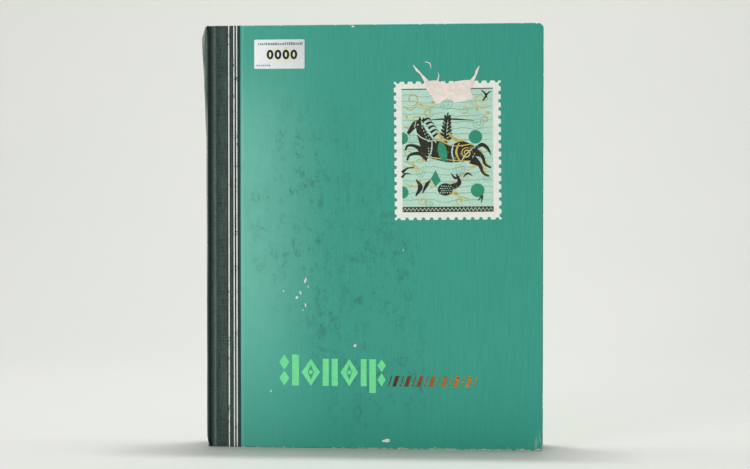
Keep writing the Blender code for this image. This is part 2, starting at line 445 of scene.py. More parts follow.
def roundedSlab(u1, u2, z1, z2, v1, v2, radius, bevel, side="front"):
    # a rounded rectangle pushed back; its rings step in by the bevel at both faces
    quarter = np.linspace(0, math.pi / 2, 6)
    rings = []
    for inset, v in ((bevel, v1), (0, v1 + bevel), (0, v2 - bevel), (bevel, v2)):
        r = radius - inset
        parts = []
        for centreU, centreZ, start in ((u2 - radius, z1 + radius, -90), (u2 - radius, z2 - radius, 0),
                                        (u1 + radius, z2 - radius, 90), (u1 + radius, z1 + radius, 180)):
            angle = math.radians(start) + quarter
            parts.append(np.stack([centreU + r * np.cos(angle), centreZ + r * np.sin(angle)], axis=1))
        ring = np.concatenate(parts)
        rings.append(place(ring[:, 0], v, ring[:, 1], side))
    count = len(rings[0])
    faces = [tuple(range(count)), tuple(range(4 * count - 1, 3 * count - 1, -1))]
    for k in range(3):
        low = np.append(np.arange(count), 0) + k * count
        faces += [tuple(f) for f in stripFaces(low, low + count)]
    return np.concatenate(rings), [f if i < 2 else f[::-1] for i, f in enumerate(faces)]


# finishes
# the lighter teal below paints a sheen, and the pale cloth tone serves both real rub and a painted highlight
tones = {
    "teal": rgb(52, 161, 142), "tealDeep": rgb(42, 153, 133), "tealRubbed": rgb(116, 196, 178),
    "stain": rgb(38, 96, 84), "cream": rgb(232, 232, 216), "boardBare": rgb(168, 156, 132),
    "clothDark": rgb(34, 50, 46), "clothMid": rgb(64, 86, 80), "clothWorn": rgb(140, 150, 138),
    "ivory": rgb(226, 218, 196), "ivoryAged": rgb(206, 192, 160), "stockCard": rgb(236, 229, 210),
}
threadPitch = {"bookCloth": 0.00042, "lining": 0.0009, "leafLinen": 0.0006, "endBand": 0.00035, "bandStripe": 0.0028}


def makeCoverPaper(name, stained):
    g = Graph(name)
    point = g.objectPoint()
    x, _, z = g.parts(point)
    streak = g.noise(point, (1500, 300, 40), 4, 0.6)       # fine upright streaks in the print
    mottle = g.noise(point, (160, 60, 110), 5, 0.6)
    grain = g.noise(point, 2600, 2, 0.5)
    # painted sheen: the teal is lightened over the left middle of the cover, standing in for a soft highlight
    paintedSheenLeft = g.step(x, -0.098, -0.022, 1.0, 0.0) * g.step(z, 0.0, 0.15, 0.20, 1.0)
    paintedSheenLeft = paintedSheenLeft * g.step(z, 0.22, 0.31, 1.0, 0.15) * (0.45 + mottle * 0.45)
    colour = g.mix(g.step(streak, 0.30, 0.70), tones["tealDeep"], tones["teal"])
    colour = g.mix(g.step(z, 0.075, 0.0, 0.0, 0.45), colour, rgb(22, 140, 124))      # deeper towards the foot
    colour = g.mix(paintedSheenLeft, colour, tones["tealRubbed"])
    colour = g.mix(g.step(grain, 0.60, 0.75, 0.0, 0.10), colour, tones["cream"])
    if stained:
        # damp marks: clouds of small blots in a leaning oval patch, fewer towards its rim
        blot = g.noise(point, (150, 40, 105), 10, 0.82)
        fleck = g.noise(point, (900, 100, 700), 4, 0.7)
        cloud = g.noise(point, (40, 20, 28), 3, 0.5)
        across = (x + 0.026 + (z - 0.14) * 0.24) / 0.066
        up = (z - 0.134) / 0.150
        near = g.step(across * across + up * up + (cloud - 0.5) * 1.4, 0.30, 1.15, 1.0, 0.0)
        smudge = near * g.step(blot, 0.50, 0.63) * (0.30 + g.step(fleck, 0.42, 0.58) * 0.70)
        colour = g.mix(near * 0.06, colour, tones["stain"])
        colour = g.mix(smudge * 0.68, colour, tones["stain"])
    rim = g.attribute("rim")
    chafe = g.noise(point, 260, 6, 0.7)
    sideX, sideZ = g.absolute(x), g.absolute(z - album["height"] / 2)
    nearEdge = g.larger(g.step(sideX, 0.1250, 0.1278), g.step(sideZ, 0.1563, 0.1592))
    corner = g.step(sideX, 0.119, 0.128) * g.step(sideZ, 0.151, 0.160)
    bottom = g.step(z, 0.0040, 0.0, 0.0, 0.125) * g.step(x, -0.07, 0.03, 0.25, 1.0)
    score = chafe + rim * 0.10 + nearEdge * 0.06 + corner * g.step(z, 0.25, 0.05, 0.08, 0.16) + bottom
    wear = g.step(score, 0.735, 0.775)
    colour = g.mix(wear * 0.9, colour, tones["cream"])
    colour = g.mix(g.step(score, 0.83, 0.86), colour, tones["boardBare"])
    crumpled = g.step(g.noise(point, (900, 300, 150), 4, 0.6), 0.50, 0.66)
    crumpled = crumpled * g.step(x, 0.1190, 0.1262) * g.step(z, 0.018, 0.004)
    colour = g.mix(crumpled * 0.5, colour, tones["cream"])
    height = streak * 0.4 + grain * 0.5 + mottle * 0.3 - wear * 0.8 + crumpled * 0.8
    return g.surface(baseColor=colour, roughness=0.44 + mottle * 0.16 + wear * 0.3,
                     normal=g.bump(height, 0.35, 0.00012), specular=0.4)


def makeCloth(name):
    # book cloth: threads both ways on the piece's own map
    g = Graph(name)
    point = g.surfacePoint()
    s, t, _ = g.parts(point)
    turn = math.pi / threadPitch["bookCloth"]
    weave = g.absolute(g.sine(s * turn)) * 0.5 + g.absolute(g.sine(t * turn)) * 0.5
    slub = g.noise(point, (1400, 90, 1), 3, 0.6)
    cross = g.noise(point, (120, 1500, 1), 3, 0.6)
    patch = g.noise(point, (160, 26, 1), 5, 0.6)
    colour = g.mix(g.step(slub * 0.5 + cross * 0.5, 0.38, 0.62), tones["clothDark"], tones["clothMid"])
    colour = g.mix(g.step(patch, 0.42, 0.70, 0.0, 0.35), colour, rgb(78, 98, 92))
    # the darkening attribute: painted shade in the joint groove, in the hollow beside its ridge and at the spine's
    # shoulders; past the third rule the cloth is darker in itself
    colour = g.mix(g.smaller(g.attribute("shade"), 1.0) * (0.55 + patch * 0.4), colour, rgb(15, 26, 24))
    rub, rim = g.attribute("rub"), g.attribute("rim")
    fray = g.noise(point, 420, 6, 0.7)
    # lighter cloth: real rub on the spine, and a painted highlight along the board's edge ridge in the joint
    colour = g.mix(g.step(rub + fray * 0.5, 0.45, 1.1, 0.0, 0.85), colour, tones["clothWorn"])
    colour = g.mix(g.step(fray + rim * 0.06 + rub * 0.12, 0.70, 0.76, 0.0, 0.8), colour, tones["cream"])
    return g.surface(baseColor=colour, roughness=0.82, sheen=0.25, sheenRoughness=0.5,
                     normal=g.bump(weave * 0.7 + slub * 0.3 + cross * 0.3, 0.55, 0.00010), specular=0.3)


def makePlainPaper(name, light, dark, roughness=0.8, flecks=0.35, lines=None, bends=False):
    # with bends set, a sheet reads its marks from its own surface map instead of object coordinates
    g = Graph(name)
    point = g.surfacePoint() if bends else g.objectPoint()
    cloud = g.noise(point, (14, 14, 14), 4, 0.55)
    fibre = g.noise(point, (900, 900, 500), 3, 0.6)
    colour = g.mix(g.step(cloud, 0.35, 0.75, 0.0, 0.55), light, dark)
    colour = g.mix(g.step(fibre, 0.55, 0.75, 0.0, flecks), colour, dark)
    height = fibre * 0.6
    if lines:
        # stacked edges seen as lines across the thickness; the darker lines are painted shade in the gaps between
        # them
        _, y, _ = g.parts(point)
        edge = g.absolute(g.sine(y * (math.pi / lines)))
        colour = g.mix(g.step(edge, 0.0, 0.35, 0.55, 0.0), colour, rgb(120, 104, 78))
        height = height + g.step(edge, 0.0, 0.5) * 1.5
    return g.surface(baseColor=colour, roughness=roughness, normal=g.bump(height, 0.3, 0.00012), specular=0.3)


def makeCanvas(name, light, dark, pitch):
    # plain weave on Object coordinates: height across y and z, or x and z, whichever way the strip faces
    g = Graph(name)
    point = g.objectPoint()
    x, y, z = g.parts(point)
    turn = math.pi / pitch
    threads = g.absolute(g.sine((x + y) * turn)) * 0.5 + g.absolute(g.sine(z * turn)) * 0.5
    uneven = g.noise(point, (700, 700, 80), 4, 0.6)
    # lighter on the thread crowns and darker in the hollows: painted shade of the weave, with random unevenness
    colour = g.mix(g.step(threads + uneven * 0.5, 0.55, 1.1), dark, light)
    return g.surface(baseColor=colour, roughness=0.92, normal=g.bump(threads, 0.6, 0.00012), specular=0.2)


def makeFilm(name):
    # clear pocket film: thin, glossy, slightly scuffed
    g = Graph(name)
    point = g.objectPoint()
    scuff = g.noise(point, (60, 60, 240), 5, 0.65)
    ripple = g.noise(point, (30, 30, 90), 3, 0.5)
    alpha = g.step(scuff, 0.35, 0.75, 0.34, 0.42)
    return g.surface(baseColor=rgb(236, 240, 238), roughness=g.step(scuff, 0.4, 0.7, 0.08, 0.22), alpha=alpha,
                     coat=0.3, normal=g.bump(ripple, 0.25, 0.0004), ior=1.5)


def makeGlassine(name):
    g = Graph(name)
    point = g.objectPoint()
    cloud = g.noise(point, (45, 45, 45), 6, 0.62)
    crease = g.noise(point, (9, 9, 26), 3, 0.5)
    colour = g.mix(g.step(cloud, 0.4, 0.7), rgb(233, 233, 222), rgb(216, 214, 196))
    return g.surface(baseColor=colour, roughness=0.34, alpha=g.step(cloud, 0.35, 0.7, 0.50, 0.68),
                     normal=g.bump(crease + cloud * 0.2, 0.3, 0.0008), ior=1.45)


def makeInk(name, light, dark, roughness=0.5, scale=900, share=0.5, metallic=0.0, worn=0.0, under=(0.8, 0.8, 0.8)):
    # printed or blocked colour with slight unevenness; where worn, the ground shows through
    g = Graph(name)
    point = g.objectPoint()
    uneven = g.noise(point, scale, 4, 0.6)
    broad = g.noise(point, scale * 0.12, 4, 0.6)
    colour = g.mix(g.step(uneven * 0.5 + broad * 0.5, 0.38, 0.62, 0.0, share), light, dark)
    if worn:
        colour = g.mix(g.step(uneven * 0.45 + broad * 0.55, 0.60 - worn, 0.64 - worn), colour, under)
    return g.surface(baseColor=colour, roughness=roughness, metallic=metallic,
                     normal=g.bump(uneven, 0.2, 0.00006), specular=0.4)


# binding: spine cloth, card inside it, stubs, bands
cloth = makeCloth("dark_green_book_cloth")
spine = {"steps": 44, "lines": 90, "bulge": 0.0040, "shoulderU": album["hingeU"] - 0.0019,
         "cloth": 0.0009, "card": 0.0018, "cardInset": 0.0022, "cardShort": 0.0007}
depthAll = album["depth"]
shoulderDepth = spineLow[1] - frontY
roundDepth = 0.0022                       # how far the spine bows between its shoulders


def spinePath(inside=0.0, start=0.0, ends=True):
    # bow = round * (distance from the middle / half)^2; its two shoulders are rounded by averaging neighbours
    v = shoulderDepth + start + (depthAll - 2 * (shoulderDepth + start)) * np.linspace(0, 1, spine["steps"])
    half = depthAll / 2 - shoulderDepth
    bow = np.stack([roundDepth * ((v - depthAll / 2) / half) ** 2 + inside, v], axis=1)
    if not ends:
        return bow
    flat = np.linspace(spine["shoulderU"], roundDepth, 9)[:-1]
    front = np.stack([flat, np.full(len(flat), shoulderDepth)], axis=1)
    back = np.stack([flat[::-1], np.full(len(flat), depthAll - shoulderDepth)], axis=1)
    path = np.concatenate([front, bow, back])
    for _ in range(3):
        path[1:-1] = path[1:-1] * 0.5 + (path[:-2] + path[2:]) * 0.25
    return path


def headBulge(v, z):
    # the spine has been pulled at the head: it swells most near the top and fades steadily downwards
    swell = np.clip((z - 0.234) / 0.075, 0, 1) ** 0.85 * (1 - 0.65 * smooth(z, 0.309, 0.3185))
    across = np.sin(math.pi * np.clip((v - 0.001) / (depthAll - 0.002), 0, 1)) ** 0.7
    wander = 0.0004 * softNoise(z, v, 0.09, 11) * np.sin(math.pi * np.clip(v / depthAll, 0, 1))
    tucked = 0.0013 * (1 - smooth(z, 0.0, 0.0075))            # its foot is worn round
    return -spine["bulge"] * swell * across + wander + tucked


path = spinePath()
towardsMiddle = np.array([0.03, depthAll / 2]) - path
inward = inwardOf(path, (1.0, 0.0))
side = np.sign(np.sum(inward * towardsMiddle, axis=1))
inward = inward * side[:, None]
thickness = np.where(path[:, 0] > roundDepth + 0.0003, spine["cloth"], spine["card"])
thickness = np.convolve(np.pad(thickness, 3, mode="edge"), np.ones(7) / 7, mode="valid")
u, v, z, rim = wrappedStrip(path, inward, thickness, 0.0, album["height"], spine["lines"], headBulge)
points = place(u, v, z)
crease = np.exp(-((u - roundDepth) / 0.0008) ** 2)
rub = 0.75 * smooth(z, 0.222, 0.270) * smooth(-u, -0.0018, 0.0006) * (0.75 + 0.6 * softNoise(v, z, 0.02, 8))
rub = rub + crease * (0.3 + 0.8 * smooth(z, 0.10, 0.16) * (1 - smooth(z, 0.24, 0.27)))
rub = rub + 0.9 * (1 - smooth(z, 0.0, 0.006)) * crease
rub = rub + 1.4 * (1 - smooth(z, 0.0006, 0.0048)) * np.exp(-((u - roundDepth - 0.0008) / 0.0012) ** 2)
# painted shade: the cloth darkens from the spine's round into the shoulder at the joint
shade = smooth(u, roundDepth + 0.0004, spine["shoulderU"])
addPiece("spine_book_cloth", points, gridFaces(*z.shape), cloth, "binding", ["spine_cloth"],
         facing=(-1, 0, 0), surface=gridSurface(points), values={"rim": rim, "rub": rub, "shade": shade})

inner = spinePath(spine["cloth"], spine["cardInset"], ends=False)
outer = spinePath(spine["card"], spine["cardInset"], ends=False)
section = np.concatenate([inner, outer[::-1]])
low = place(section[:, 0], section[:, 1], spine["cardShort"])
high = place(section[:, 0], section[:, 1], album["height"] - spine["cardShort"])
count = len(section)
ring = np.append(np.arange(count), 0)
quads = [tuple(f) for f in stripFaces(ring, ring + count)]
caps = [tuple(range(count))[::-1], tuple(range(count, 2 * count))]
addPiece("spine_stiffener", np.concatenate([low, high]), caps + quads,
         makePlainPaper("spine_card_grey", rgb(160, 148, 122), rgb(122, 108, 84)), "binding",
         ["spine_card"])

paint("stub_block", makePlainPaper("stub_edges", tones["ivory"], tones["ivoryAged"], 0.9, lines=0.0010))
paint("spine_lining", makeCanvas("open_lining_cloth", rgb(214, 208, 188), rgb(150, 138, 108), threadPitch["lining"]))


def makeBandCloth():
    # coloured threads wound round a core, in stripes along the block's depth
    g = Graph("headband_threads")
    _, y, _ = g.parts(g.objectPoint())
    stripe = g.step(g.sine(y * (2 * math.pi / threadPitch["bandStripe"])), -0.15, 0.15)
    strand = g.absolute(g.sine(y * (math.pi / threadPitch["endBand"])))
    colour = g.mix(stripe, rgb(188, 60, 52), rgb(226, 216, 190))
    # darker where the wound threads meet: painted shade in the crevices between them
    colour = g.mix(g.step(strand, 0.0, 0.4, 0.5, 0.0), colour, rgb(60, 30, 24))
    return g.surface(baseColor=colour, roughness=0.8, normal=g.bump(strand, 0.7, 0.00015), sheen=0.3)


bandThreads = makeBandCloth()
for name in ("head_band", "tail_band"):
    low, high = nodeBox(name)
    centre, radius = (low + high) / 2, (high[2] - low[2]) / 2
    along = np.linspace(low[1], high[1], 150)
    around = np.linspace(0, 2 * math.pi, 15)[:-1]
    a, y = np.meshgrid(around, along)
    swell = radius * (0.93 + 0.07 * np.abs(np.sin(y * math.pi / threadPitch["endBand"])))
    ends = np.clip(np.minimum(y - low[1], high[1] - y) / 0.0006, 0, 1)
    swell = swell * np.sqrt(np.clip(1 - (1 - ends) ** 2, 0.0, 1)) * 0.999 + 1e-5
    points = np.stack([centre[0] + swell * np.cos(a), y, centre[2] + swell * np.sin(a)], axis=-1)
    grid = np.arange(a.size).reshape(a.shape)
    closed = quadsOf(np.concatenate([grid, grid[:, :1]], axis=1))
    faces = [tuple(f) for f in closed] + [tuple(grid[0]), tuple(grid[-1][::-1])]
    addPiece(f"{name}_threads", points, faces, bandThreads, "binding", [name])
print("binding built")


# covers: joint cloth, rules, board, side paper, pastedown, gutter paper
joint = {"depth": 0.0016, "faceDepth": 0.00014, "grooveWidth": 0.0056, "grooveSteps": 28, "flatSteps": 14,
         "lines": 60, "rules": (0.0191, 0.0230, 0.0251), "ruleWidth": 0.0009, "foilSheet": 0.00003}


def grooveDepth(u):
    # shoulder depth, plus a trough with soft sides, easing up to the cloth on the board
    start = spine["shoulderU"]
    trough = smooth(u, start, start + 0.0012) - smooth(u, start + 0.0026, start + 0.0043)
    rise = smooth(u, start + 0.0030, start + 0.0052)
    return shoulderDepth * (1 - rise) + joint["faceDepth"] * rise + joint["depth"] * trough


gutter = {"start": 0.0046, "end": 0.0130, "depth": 0.0041, "lines": 24}
rulesFoil = makeInk("silver_rule_foil", rgb(236, 240, 236), rgb(196, 202, 198), 0.35, 1200, 0.6, 0.35,
                    worn=0.03, under=rgb(60, 70, 66))
blackLine = makeInk("blackened_line", rgb(16, 24, 22), rgb(38, 52, 48), 0.7, 1500, 0.8)
boardMaterial = makePlainPaper("binders_board", rgb(176, 164, 138), rgb(140, 126, 100), 0.95)
pasted = makePlainPaper("pastedown_paper", tones["ivory"], tones["ivoryAged"], 0.8)
gutterPaper = makePlainPaper("gutter_paper", tones["ivory"], tones["ivoryAged"], 0.8, bends=True)
for side in ("front", "back"):
    body = f"{side}_cover"
    start = spine["shoulderU"]
    near = np.linspace(start, start + joint["grooveWidth"], joint["grooveSteps"])
    far = np.linspace(start + joint["grooveWidth"], album["clothU"] + 0.0016, joint["flatSteps"])[1:]
    u = np.concatenate([near, far])
    path = np.stack([u, grooveDepth(u)], axis=1)
    inward = inwardOf(path, (0.0, 1.0))
    board = smooth(u, album["boardU"] - 0.0006, album["boardU"] + 0.0004)
    inward = inward * (1 - board[:, None]) + np.array([0.0, 1.0]) * board[:, None]
    thickness = spine["cloth"] + (boardThickness - joint["faceDepth"] - spine["cloth"]) * board
    gridU, gridV, gridZ, rim = wrappedStrip(path, inward, thickness, 0.0, album["height"], joint["lines"])
    points = place(gridU, gridV, gridZ, side)
    # a painted highlight along the board's edge ridge, painted shade in the groove and in the hollow beyond the
    # ridge, and darker cloth past the third rule
    ridgeHighlight = np.exp(-((gridU - start - 0.0050) / 0.0011) ** 2)
    shade = 1 - smooth(gridU, start + 0.0014, start + 0.0046) + 0.55 * np.exp(-((gridU - 0.0110) / 0.0013) ** 2)
    shade = shade + 0.7 * smooth(gridU, joint["rules"][2], joint["rules"][2] + 0.0014)
    facing = (0, -1, 0) if side == "front" else (0, 1, 0)
    piece = addPiece(f"{side}_joint_cloth", points, gridFaces(*gridZ.shape), cloth, None,
                     [f"{side}_cover_cloth"], facing=facing, surface=gridSurface(points),
                     values={"rim": rim, "rub": 0.45 * ridgeHighlight, "shade": shade})
    tuple(place(start, 0.0, 0.0, side).ravel())
    tuple(place(album["boardU"], 0.0, 0.0, side).ravel())
    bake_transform(piece)

    for number, ruleU in enumerate(joint["rules"], 1):
        # each silver rule lies on a wider blackened line, one sheet further out
        for kind, width, level, material in (("black_line", 2.9, 1, blackLine), ("silver_rule", 1.0, 2, rulesFoil)):
            u = ruleU + joint["ruleWidth"] * width * np.linspace(-0.5, 0.5, 4)
            proud = joint["foilSheet"] * level
            path = np.stack([u, np.full(4, joint["faceDepth"] - proud)], axis=1)
            inward = np.broadcast_to(np.array([0.0, 1.0]), path.shape)
            thin = np.full(4, boardThickness - joint["faceDepth"] + 2 * proud)
            gridU, gridV, gridZ, _ = wrappedStrip(path, inward, thin, -proud, album["height"] + proud,
                                                  joint["lines"])
            addPiece(f"{side}_{kind}_{number}", place(gridU, gridV, gridZ, side), gridFaces(*gridZ.shape),
                     material, body, facing=facing)

    gap = cover["boardInset"]
    slab, faces = roundedSlab(album["boardU"] + 0.0001, album["width"] - gap, gap, album["height"] - gap, gap,
                              boardThickness - gap, cover["foreHead"] - 0.0005, gap, side)
    addPiece(f"{side}_board_core", slab, faces, boardMaterial, body, [f"{side}_board"])
    addCoverPaper(side, makeCoverPaper(f"{side}_teal_cover_paper", side == "front"))
    paint(f"{side}_pastedown", pasted)

    # gutter paper: from the stub block's face, behind the joint cloth, to under the pastedown
    u = np.concatenate([np.linspace(gutter["start"], 0.0080, 14), np.linspace(0.0084, gutter["end"], 8)])
    v = gutter["depth"] - 0.0012 * smooth(u, gutter["start"], 0.0058) + 0.0006 * smooth(u, 0.0072, 0.0086)
    v = np.minimum(v, album["innerDepth"] + 0.0001)
    z = np.linspace(liningLow[2], liningHigh[2], gutter["lines"])
    gridU, gridZ = np.meshgrid(u, z, indexing="ij")
    gridV = np.broadcast_to(v[:, None], gridU.shape)
    points = place(gridU, gridV, gridZ, side)
    piece = addPiece(f"{side}_gutter_paper", points, gridFaces(*gridU.shape), gutterPaper, None,
                     facing=(0, 1, 0) if side == "front" else (0, -1, 0), surface=gridSurface(points))
    tuple(place(gutter["start"], 0.0, 0.0, side).ravel())
    tuple(place(album["boardU"], 0.0, 0.0, side).ravel())
    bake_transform(piece)
print("covers built")


# leaves: stock card, linen hinge, film pockets, glassine
leaf = {"count": 8, "cornerRadius": 0.0025, "bevel": 0.00012, "rows": 8, "pocketAcross": 40, "pocketUp": 5,
        "pocketGap": 0.00925, "film": 0.00006, "glassine": 0.00006}
stockCard = makePlainPaper("stock_leaf_card", tones["stockCard"], rgb(222, 212, 188), 0.75)
linen = makeCanvas("leaf_linen", rgb(208, 200, 180), rgb(172, 160, 134), threadPitch["leafLinen"])
film = makeFilm("clear_pocket_film")
glassine = makeGlassine("glassine_interleaf")


def flatU(low, high):
    # a box's sides and faces as u1, u2, v1, v2
    return low[0] - spineX, high[0] - spineX, low[1] - frontY, high[1] - frontY


def addPockets(name, body, facing):
    # each row: glued along its foot, its free upper lip standing a little off the card and slightly wavy
    low, high = nodeBox(name)
    u1, u2, v1, v2 = flatU(low, high)
    pitch = (high[2] - low[2]) / leaf["rows"]
    strip = pitch - leaf["pocketGap"]
    s = np.linspace(0, 1, leaf["pocketAcross"] + 1)
    t = np.linspace(0, 1, leaf["pocketUp"] + 1)
    row, up, across = np.meshgrid(np.arange(leaf["rows"]), t, s, indexing="ij")
    u = u1 + (u2 - u1) * across
    z = low[2] + row * pitch + strip * up
    wave = softNoise(u, row * 0.07, 0.11, 21 + len(name)) * 0.25 + 0.72
    ends = np.clip(np.minimum(across, 1 - across) / 0.04, 0, 1)
    rise = 0.00008 + (v2 - v1 - 0.00012) * np.clip(up ** 1.5 * wave * (0.3 + 0.7 * ends), 0, 0.97)
    v = v2 - rise if facing < 0 else v1 + rise
    points = place(u, v, z).reshape(-1, 3)
    first = np.arange(leaf["rows"]) * t.size * s.size
    faces = (gridFaces(t.size, s.size)[None] + first[:, None, None]).reshape(-1, 4)
    piece = addPiece(f"{name}_film", points, faces, film, body, [name], facing=(0, facing, 0))
    thicken(piece, leaf["film"])


for number in range(1, leaf["count"] + 1):
    body = f"leaf_{number}"
    low, high = nodeBox(f"leaf_{number}_card")
    u1, u2, v1, v2 = flatU(low, high)
    slab, faces = roundedSlab(u1, u2, low[2], high[2], v1, v2, leaf["cornerRadius"], leaf["bevel"])
    addPiece(f"leaf_{number}_stock_card", slab, faces, stockCard, body, [f"leaf_{number}_card"])
    paint(f"leaf_{number}_linen_hinge", linen)
    addPockets(f"leaf_{number}_pockets_front", body, -1)
    addPockets(f"leaf_{number}_pockets_back", body, 1)
    if number > 1:
        name = f"interleaf_{number - 1}"
        low, high = nodeBox(name)
        u1, u2, v1, v2 = flatU(low, high)
        u, z = np.meshgrid(np.linspace(u1, u2, 60), np.linspace(low[2], high[2], 80), indexing="ij")
        v = (v1 + v2) / 2 + 0.00012 * softNoise(u, z, 0.12, 40 + number)
        piece = addPiece(f"{name}_sheet", place(u, v, z), gridFaces(*u.shape), glassine, body,
                         [name], facing=(0, -1, 0))
        thicken(piece, leaf["glassine"])
print("leaves built")


# flat shapes for printing: each gives points in millimetres and faces
def mesh2d(points, faces):
    return np.asarray(points, float).reshape(-1, 2), [tuple(int(i) for i in face) for face in faces]


def disc(u, z, radiusU, radiusZ=None, turn=0.0, sides=40, start=0.0, sweep=360.0):
    angle = np.radians(start + np.linspace(0, sweep, sides + 1)[: sides if sweep == 360 else None])
    a, b = radiusU * np.cos(angle), (radiusZ or radiusU) * np.sin(angle)
    c, s = math.cos(math.radians(turn)), math.sin(math.radians(turn))
    return mesh2d(np.stack([u + a * c - b * s, z + a * s + b * c], axis=1), [range(len(angle))])


def shape(*corners):
    return mesh2d(corners, [range(len(corners))])


def bar(u1, z1, u2, z2):
    return shape((u1, z1), (u2, z1), (u2, z2), (u1, z2))


def spline(controls, count=40):
    # a curve through the control points: each stretch is the cubic of its four nearest points
    p = np.asarray(controls, float)
    p = np.concatenate([2 * p[:1] - p[1:2], p, 2 * p[-1:] - p[-2:-1]])
    t = np.linspace(0, len(controls) - 1 - 1e-9, count)
    k, f = np.floor(t).astype(int), (t - np.floor(t))[:, None]
    a, b, c, d = p[k], p[k + 1], p[k + 2], p[k + 3]
    return 0.5 * (2 * b + (c - a) * f + (2 * a - 5 * b + 4 * c - d) * f ** 2 + (3 * b - a - 3 * c + d) * f ** 3)


def stroke(controls, widths, count=40):
    # a ribbon along a spline; its width runs evenly through the list of widths
    line = spline(controls, count)
    along = np.gradient(line, axis=0)
    aside = np.stack([-along[:, 1], along[:, 0]], axis=1) / np.linalg.norm(along, axis=1)[:, None]
    width = np.interp(np.linspace(0, 1, count), np.linspace(0, 1, len(widths)), widths)[:, None] / 2
    points = np.concatenate([line + aside * width, line - aside * width])
    return mesh2d(points, stripFaces(np.arange(count), np.arange(count) + count))


def ringShape(u, z, radiusU, radiusZ, width, sides=40):
    # an oval band, open in the middle
    angle = np.linspace(0, 2 * math.pi, sides + 1)[:-1]
    around = np.stack([np.cos(angle), np.sin(angle)], axis=1)
    outer = around * (radiusU, radiusZ) + (u, z)
    inner = around * (radiusU - width, radiusZ - width) + (u, z)
    index = np.append(np.arange(sides), 0)
    return mesh2d(np.concatenate([outer, inner]), stripFaces(index, index + sides))


printing = {"level": 0.00004, "lift": 0.00002, "film": 0.00003, "rise": 3e-6, "riseAll": 3e-5}


def addPrint(name, shapes, level, material):
    # shapes laid on the front cover; each level lies a little further forward
    points, rises, faces, first = [], [], [], 0
    rise = min(printing["rise"], printing["riseAll"] / len(shapes))      # overlapping shapes never share a plane
    for number, (flat, polygons) in enumerate(shapes):
        points.append(flat * mm)
        rises.append(np.full(len(flat), number * rise))
        faces += [tuple(i + first for i in face) for face in polygons]
        first += len(flat)
    flat, rises = np.concatenate(points), np.concatenate(rises)
    if name.startswith("stamp_"):
        # the stamp was printed a little askew: turned about its middle
        middle = np.array([stamp["left"] + stamp["right"], stamp["low"] + stamp["high"]]) * mm / 2
        across, up = (flat - middle).T
        flat = middle + np.stack([across - up * stamp["turn"], up + across * stamp["turn"]], axis=1)
    world = place(flat[:, 0], -level * printing["level"] - printing["lift"] - rises, flat[:, 1])
    fixed = []
    for face in faces:
        corners = world[list(face)]
        area = np.cross(corners[1:-1] - corners[0], corners[2:] - corners[0]).sum(axis=0)
        fixed.append(face if area[1] < 0 else face[::-1])
    thicken(addPiece(name, world, fixed, material, "front_cover", turned=False, flat=True), printing["film"])


# the stamp motif: perforated border, mint ground and a plain running horse among discs and scrolls
# its measures are in millimetres, and its turn is a small slope
stamp = {"left": 150.0, "right": 217.9, "low": 177.8, "high": 269.4, "border": 5.8, "pitch": 6.08, "tooth": 1.9,
         "turn": 0.0085}


def perforated(left, right, low, high, pitch, tooth):
    # every pitch has a round bite: inward step = tooth * sqrt(1 - (distance from its middle / half width)^2)
    def side(length):
        teeth = round(length / pitch)
        s = np.linspace(0, 1, teeth * 16 + 1)[:-1]
        away = np.abs((s * teeth) % 1.0 - 0.5) / 0.25
        deep = np.where((s * teeth < 1) | (s * teeth >= teeth - 1), 0.8, 1.0)      # the corner teeth stay whole
        return s * length, -tooth * deep * np.sqrt(np.clip(1 - away ** 2, 0, 1))
    s, out = side(right - left)
    r, outR = side(high - low)
    loop = np.concatenate([
        np.stack([left + s, low - out], axis=1), np.stack([right + outR, low + r], axis=1),
        np.stack([right - s, high + out], axis=1), np.stack([left - outR, high - r], axis=1)])
    return mesh2d(loop, [range(len(loop))])


ink = {
    "white": makeInk("stamp_border_white", rgb(244, 244, 236), rgb(226, 232, 222), 0.6, 700),
    "mint": makeInk("stamp_mint", rgb(196, 230, 212), rgb(172, 214, 196), 0.55, 500, 0.7),
    "ripple": makeInk("stamp_ripple_green", rgb(132, 186, 166), rgb(112, 168, 150), 0.55, 900),
    "black": makeInk("stamp_black", rgb(24, 22, 16), rgb(58, 50, 26), 0.55, 900, 0.6, worn=0.015,
                     under=rgb(120, 150, 120)),
    "green": makeInk("stamp_green", rgb(44, 152, 118), rgb(34, 130, 102), 0.5, 900),
    "gold": makeInk("stamp_gold", rgb(226, 204, 112), rgb(182, 152, 62), 0.45, 700, 0.8, 0.3),
    "title": makeInk("title_light_green", rgb(118, 232, 158), rgb(98, 212, 142), 0.5, 800, 0.6),
    "torn": makeInk("torn_paper", rgb(250, 238, 230), rgb(232, 218, 210), 0.9, 300, 0.9),
    "chip": makeInk("chipped_paper", rgb(238, 240, 226), rgb(204, 206, 190), 0.9, 900, 0.8),
}
left, right, low, high, border = (stamp[key] for key in ("left", "right", "low", "high", "border"))
addPrint("stamp_border", [perforated(left - border, right + border, low - border, high + border, stamp["pitch"],
                                     stamp["tooth"])], 0, ink["white"])
addPrint("stamp_ground", [bar(left, low, right, high)], 1, ink["mint"])

greens = [disc(204.8, 233.5, 5.0), disc(206.1, 193.8, 5.1)]
greens += [disc(left, z, 4.6, sides=24, start=-90, sweep=180) for z in (233.0, 192.6)]
addPrint("stamp_discs", greens, 2.6, ink["green"])

# gold scrolls: spirals whose radius shrinks evenly with the turn, and waving stems between them
def scroll(u, z, radius, turns, start, hand=1, width=0.8):
    t = np.linspace(0, 1, 48)
    angle = math.radians(start) + hand * turns * 2 * math.pi * t
    r = radius * (1 - 0.82 * t)
    line = np.stack([u + r * np.cos(angle), z + r * np.sin(angle)], axis=1)
    return stroke(line, [0.15, width, width, 0.3], 60)


